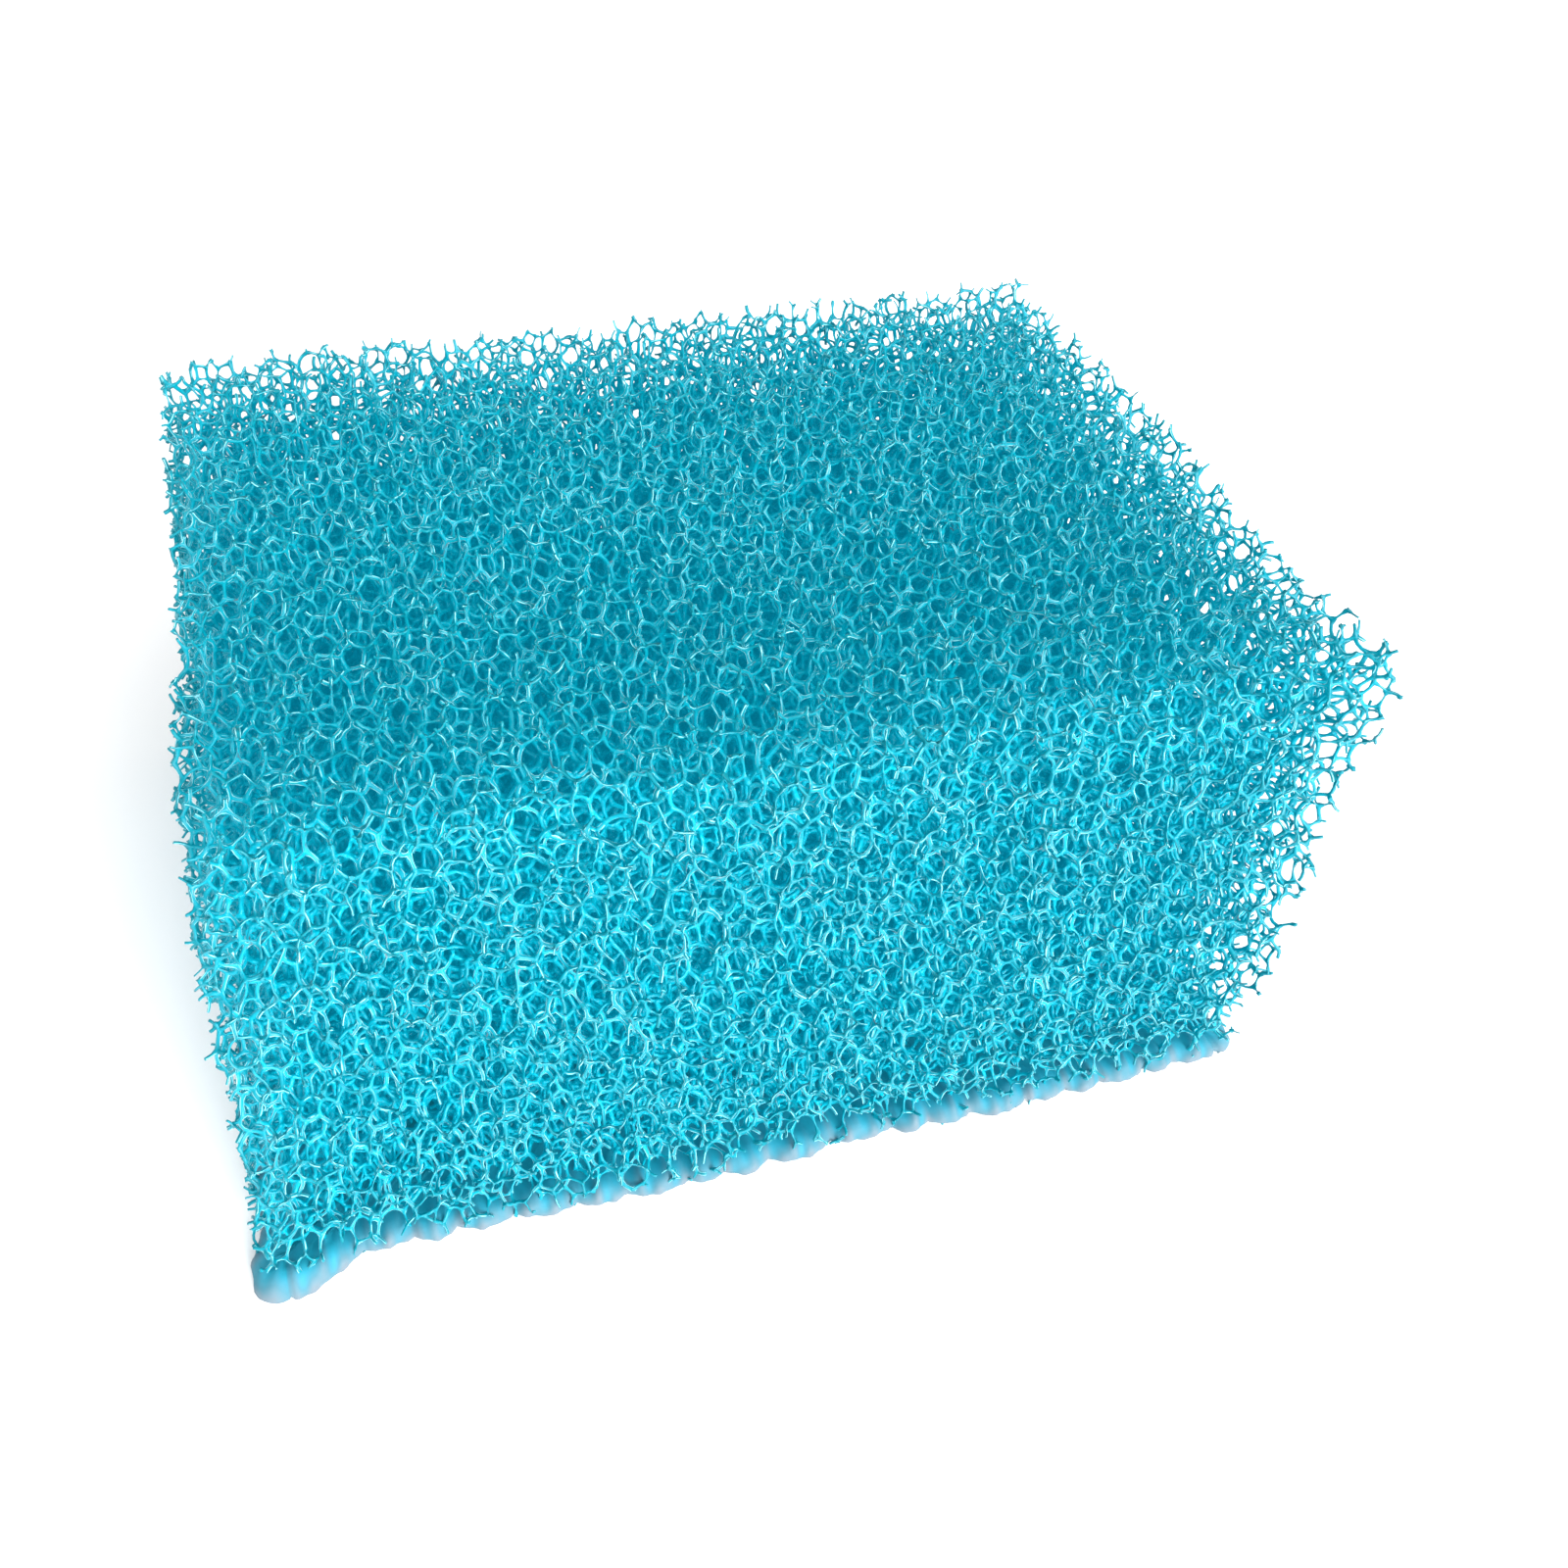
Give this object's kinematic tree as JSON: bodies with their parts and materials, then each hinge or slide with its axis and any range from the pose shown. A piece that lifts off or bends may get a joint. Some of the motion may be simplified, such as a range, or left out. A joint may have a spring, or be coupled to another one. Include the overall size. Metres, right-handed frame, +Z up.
{
  "type": "filter foam block",
  "caption": "Rectangular block of coarse blue open-cell foam, a washable filter medium for an aquarium or pond filter.",
  "frame": {"origin": "centre of the bottom face", "axes": "+X along the longest side, +Y from front to back, +Z up along the shortest side"},
  "size_m": [0.12, 0.087, 0.065],
  "materials": {
    "blue_foam": "satin"
  },
  "bodies": {
    "root": {"foam_block": "blue_foam"}
  },
  "joints": []
}
